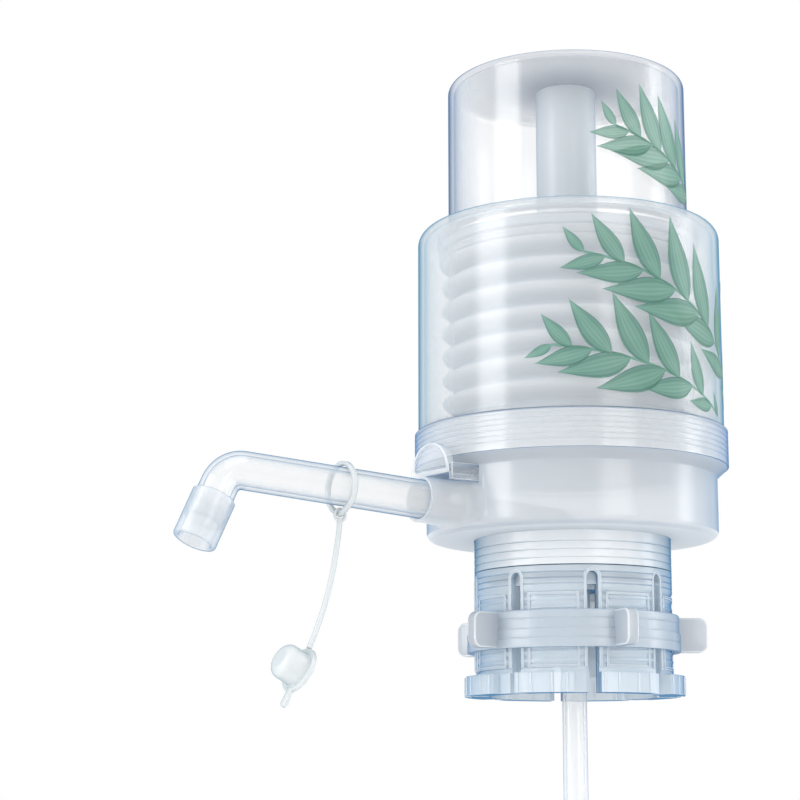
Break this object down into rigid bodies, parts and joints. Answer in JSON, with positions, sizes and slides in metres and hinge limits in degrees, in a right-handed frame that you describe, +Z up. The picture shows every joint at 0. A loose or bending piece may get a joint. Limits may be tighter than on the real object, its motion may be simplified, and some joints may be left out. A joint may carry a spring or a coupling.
{
  "type": "bottle hand pump",
  "caption": "Hand pump that clamps on a large water bottle's neck: a press cap in a clear housing works a bellows, and water rises in a dip tube and leaves by a side spout.",
  "frame": {"origin": "on the pump's axis, in the plane of the neck seal's lower face, where the bottle's lip meets it", "axes": "+Z up along the pump's axis, towards the press cap; the spout points along -X"},
  "size_m": [0.216, 0.112, 0.4825],
  "materials": {
    "clear_plastic": "gloss",
    "frosted_plastic": "satin",
    "milky_plastic": "gloss",
    "nut_plastic": "gloss",
    "silicone": "matte",
    "white_rubber": "matte",
    "spring_steel": "satin"
  },
  "bodies": {
    "pump_body": {"base_body": "milky_plastic", "screw_ring": "clear_plastic", "housing_sleeve": "clear_plastic", "valve_plate": "frosted_plastic", "bellows": "frosted_plastic", "bellows_lower_ring": "frosted_plastic", "collet_collar": "clear_plastic", "neck_seal": "white_rubber", "riser_elbow": "frosted_plastic", "port_seal": "silicone", "dip_tube_upper": "clear_plastic", "dip_tube_coupler": "frosted_plastic", "dip_tube_lower": "clear_plastic", "release_spring": "spring_steel"},
    "press_cap": {"press_cap": "clear_plastic", "press_column": "frosted_plastic", "plunger_plate": "frosted_plastic", "bellows_upper_ring": "frosted_plastic"},
    "intake_valve": {"intake_valve": "silicone"},
    "check_valve": {"check_valve": "silicone"},
    "clamp_nut": {"clamp_nut": "nut_plastic"},
    "spout": {"spout_tube": "clear_plastic", "spout_nozzle": "frosted_plastic"},
    "plug_ring": {"plug_ring": "silicone"},
    "plug_strap": {"plug_strap": "silicone", "dust_plug": "silicone"},
    "release_slider": {"release_slider": "clear_plastic"}
  },
  "joints": [
    {"name": "cap_press", "type": "slide", "parent": "pump_body", "child": "press_cap", "axis": [0, 0, -1], "range_m": [0, 0.042], "stiffness_N_per_m": 120, "springref_m": -0.03, "deforming": ["bellows"]},
    {"name": "intake_lift", "type": "slide", "parent": "press_cap", "child": "intake_valve", "axis": [0, 0, -1], "range_m": [0, 0.0012], "stiffness_N_per_m": 20, "springref_m": -0.0008},
    {"name": "check_lift", "type": "slide", "parent": "pump_body", "child": "check_valve", "axis": [0, 0, -1], "range_m": [0, 0.0012], "stiffness_N_per_m": 20, "springref_m": -0.0008},
    {"name": "nut_turn", "type": "hinge", "parent": "pump_body", "child": "clamp_nut", "pos_m": [0, 0, -0.0144], "axis": [0, 0, 1], "range_deg": [0, 450]},
    {"name": "spout_turn", "type": "hinge", "parent": "pump_body", "child": "spout", "pos_m": [-0.067, 0, 0.0288], "axis": [-0.9986, 0, 0.0523], "range_deg": [-90, 90]},
    {"name": "ring_slide", "type": "slide", "parent": "pump_body", "child": "plug_ring", "axis": [-0.9986, 0, 0.0523], "range_m": [-0.028, 0.012]},
    {"name": "strap_swing", "type": "hinge", "parent": "plug_ring", "child": "plug_strap", "pos_m": [-0.0991, 0, 0.02022], "axis": [0, 1, 0], "range_deg": [-25, 25], "stiffness_Nm_per_rad": 0.002, "springref_deg": -5.16},
    {"name": "slider_push", "type": "slide", "parent": "pump_body", "child": "release_slider", "axis": [1, 0, 0], "range_m": [0, 0.0035], "stiffness_N_per_m": 400, "springref_m": -0.002, "deforming": ["release_spring"]}
  ]
}
